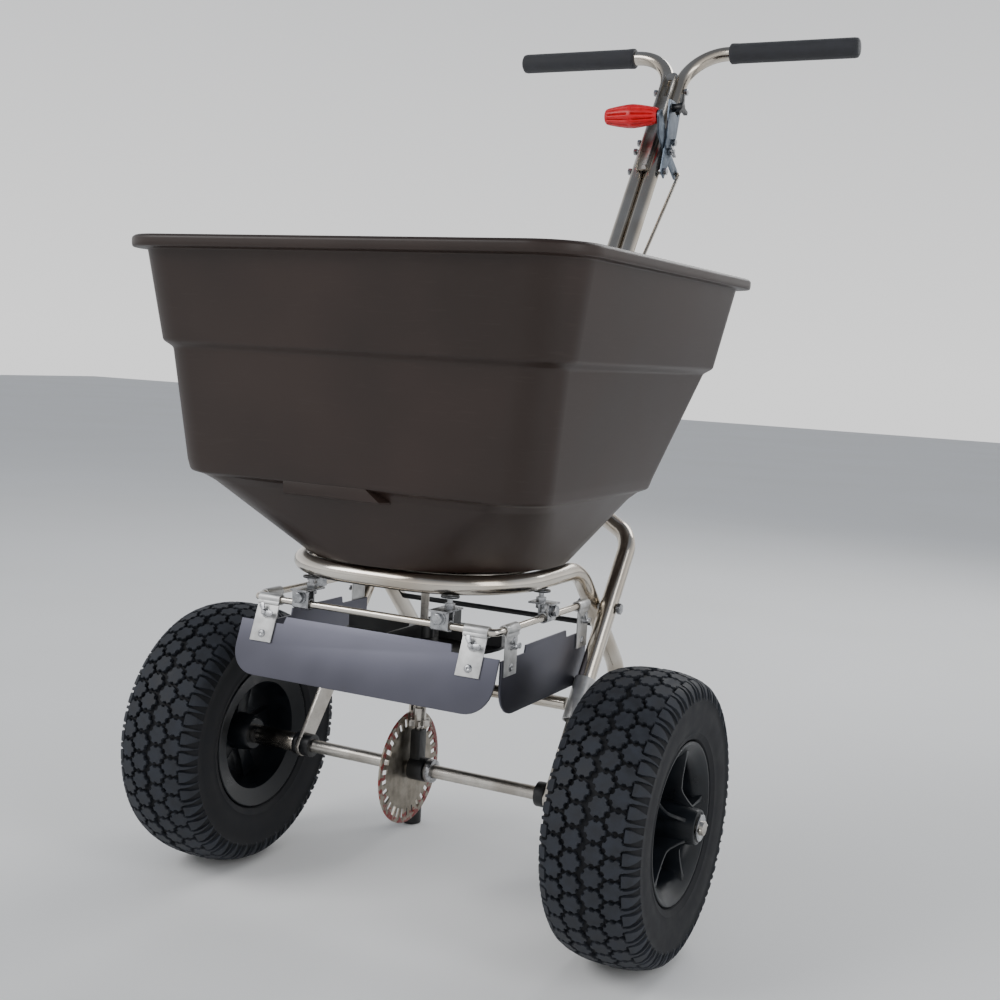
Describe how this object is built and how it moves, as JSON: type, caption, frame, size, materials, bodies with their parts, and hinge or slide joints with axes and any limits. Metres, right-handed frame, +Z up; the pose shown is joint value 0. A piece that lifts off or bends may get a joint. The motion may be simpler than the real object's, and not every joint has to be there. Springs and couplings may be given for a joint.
{
  "type": "garden spreader",
  "caption": "Push-along broadcast spreader: plastic hopper on a bent stainless tube frame, air-tyred wheels, geared impeller, shutter lever and hinged deflector flaps.",
  "frame": {"origin": "on the ground, under the middle of the overall length and width", "axes": "+Z up, +Y back towards the user, +X to the right as seen from the front"},
  "size_m": [0.72, 1, 1.1733],
  "materials": {
    "hopper_plastic": "moulded, fine satin grain",
    "rim_plastic": "moulded",
    "tyre": "matt vulcanised rubber",
    "foam": "closed-cell foam",
    "flap_plastic": "satin sheet",
    "red_plastic": "moulded",
    "black_plastic": "moulded",
    "stainless_tube": "bright polished",
    "stainless_plate": "brushed",
    "grey_plate": "satin",
    "zinc": "zinc plated"
  },
  "bodies": {
    "frame": {"handle_channel": "stainless_plate", "handle_bolt_top": "zinc", "handle_bolt_middle": "zinc", "handle_bolt_low": "zinc", "stop_quadrant": "grey_plate", "lever_pivot": "zinc", "hopper": "hopper_plastic", "base_plate": "stainless_plate", "stand_tube": "stainless_tube", "main_tube_left": "stainless_tube", "grip_left": "foam", "sleeve_left": "zinc", "axle_plate_left": "stainless_plate", "axle_bush_left": "black_plastic", "foot_cap_left": "black_plastic", "cross_bolt_left": "zinc", "main_tube_right": "stainless_tube", "grip_right": "foam", "sleeve_right": "zinc", "axle_plate_right": "stainless_plate", "axle_bush_right": "black_plastic", "foot_cap_right": "black_plastic", "cross_bolt_right": "zinc", "cross_brace": "stainless_tube", "deflector_rail": "stainless_tube", "hanger_front_left": "zinc", "hanger_front_right": "zinc", "hanger_rear_left": "zinc", "hanger_rear_right": "zinc", "shaft_bush": "black_plastic", "gear_bracket": "black_plastic"},
    "drive_axle": {"axle": "stainless_plate", "gear_disc": "stainless_plate", "rim_right": "rim_plastic", "tyre_right": "tyre", "axle_spacer_left": "stainless_plate", "axle_spacer_right": "stainless_plate", "axle_washer_left": "zinc", "axle_washer_right": "zinc", "axle_collar": "zinc"},
    "free_wheel": {"rim_left": "rim_plastic", "tyre_left": "tyre"},
    "impeller_unit": {"impeller_shaft": "stainless_plate", "pinion": "zinc", "impeller": "black_plastic", "agitator": "stainless_plate"},
    "hand_lever": {"lever": "grey_plate", "lever_knob": "red_plastic"},
    "stop": {"stop_knob": "black_plastic"},
    "rod": {"control_rod": "stainless_tube"},
    "shutter": {"shutter_plate": "stainless_plate"},
    "front_deflector": {"front_flap": "flap_plastic", "front_flap_tab_1": "zinc", "front_flap_tab_2": "zinc"},
    "right_deflector": {"right_flap": "flap_plastic", "right_flap_tab_1": "zinc", "right_flap_tab_2": "zinc"},
    "left_deflector": {"left_flap": "flap_plastic", "left_flap_tab_1": "zinc", "left_flap_tab_2": "zinc"}
  },
  "joints": [
    {"name": "axle_spin", "type": "hinge", "parent": "frame", "child": "drive_axle", "pos_m": [0, -0.24948, 0.165], "axis": [1, 0, 0], "continuous": true},
    {"name": "free_wheel_spin", "type": "hinge", "parent": "frame", "child": "free_wheel", "pos_m": [-0.284, -0.24948, 0.165], "axis": [1, 0, 0], "continuous": true},
    {"name": "impeller_spin", "type": "hinge", "parent": "frame", "child": "impeller_unit", "pos_m": [-0.0056, -0.24948, 0.325], "axis": [0, 0, 1], "continuous": true},
    {"name": "lever_swing", "type": "hinge", "parent": "frame", "child": "hand_lever", "pos_m": [0.0244, 0.37317, 0.99081], "axis": [-1, 0, 0], "range_deg": [0, 26]},
    {"name": "stop_knob_slide", "type": "hinge", "parent": "frame", "child": "stop", "pos_m": [0.0244, 0.37317, 0.99081], "axis": [-1, 0, 0], "range_deg": [0, 14]},
    {"name": "rod_slide", "type": "slide", "parent": "frame", "child": "rod", "axis": [0, -0.6785, -0.7346], "range_m": [0, 0.0235]},
    {"name": "shutter_slide", "type": "slide", "parent": "frame", "child": "shutter", "axis": [0, -1, 0], "range_m": [0, 0.0159]},
    {"name": "front_flap_swing", "type": "hinge", "parent": "frame", "child": "front_deflector", "pos_m": [0, -0.37948, 0.374], "axis": [-1, 0, 0], "range_deg": [-20, 60]},
    {"name": "right_flap_swing", "type": "hinge", "parent": "frame", "child": "right_deflector", "pos_m": [0.1575, -0.25248, 0.374], "axis": [0, 1, 0], "range_deg": [0, 35]},
    {"name": "left_flap_swing", "type": "hinge", "parent": "frame", "child": "left_deflector", "pos_m": [-0.1575, -0.25248, 0.374], "axis": [0, -1, 0], "range_deg": [0, 35]}
  ],
  "couplings": [
    {"joint": "impeller_spin", "follows": "axle_spin", "ratio": 5},
    {"joint": "rod_slide", "follows": "lever_swing", "m_per_rad": 0.0515},
    {"joint": "shutter_slide", "follows": "lever_swing", "m_per_rad": 0.03494}
  ]
}
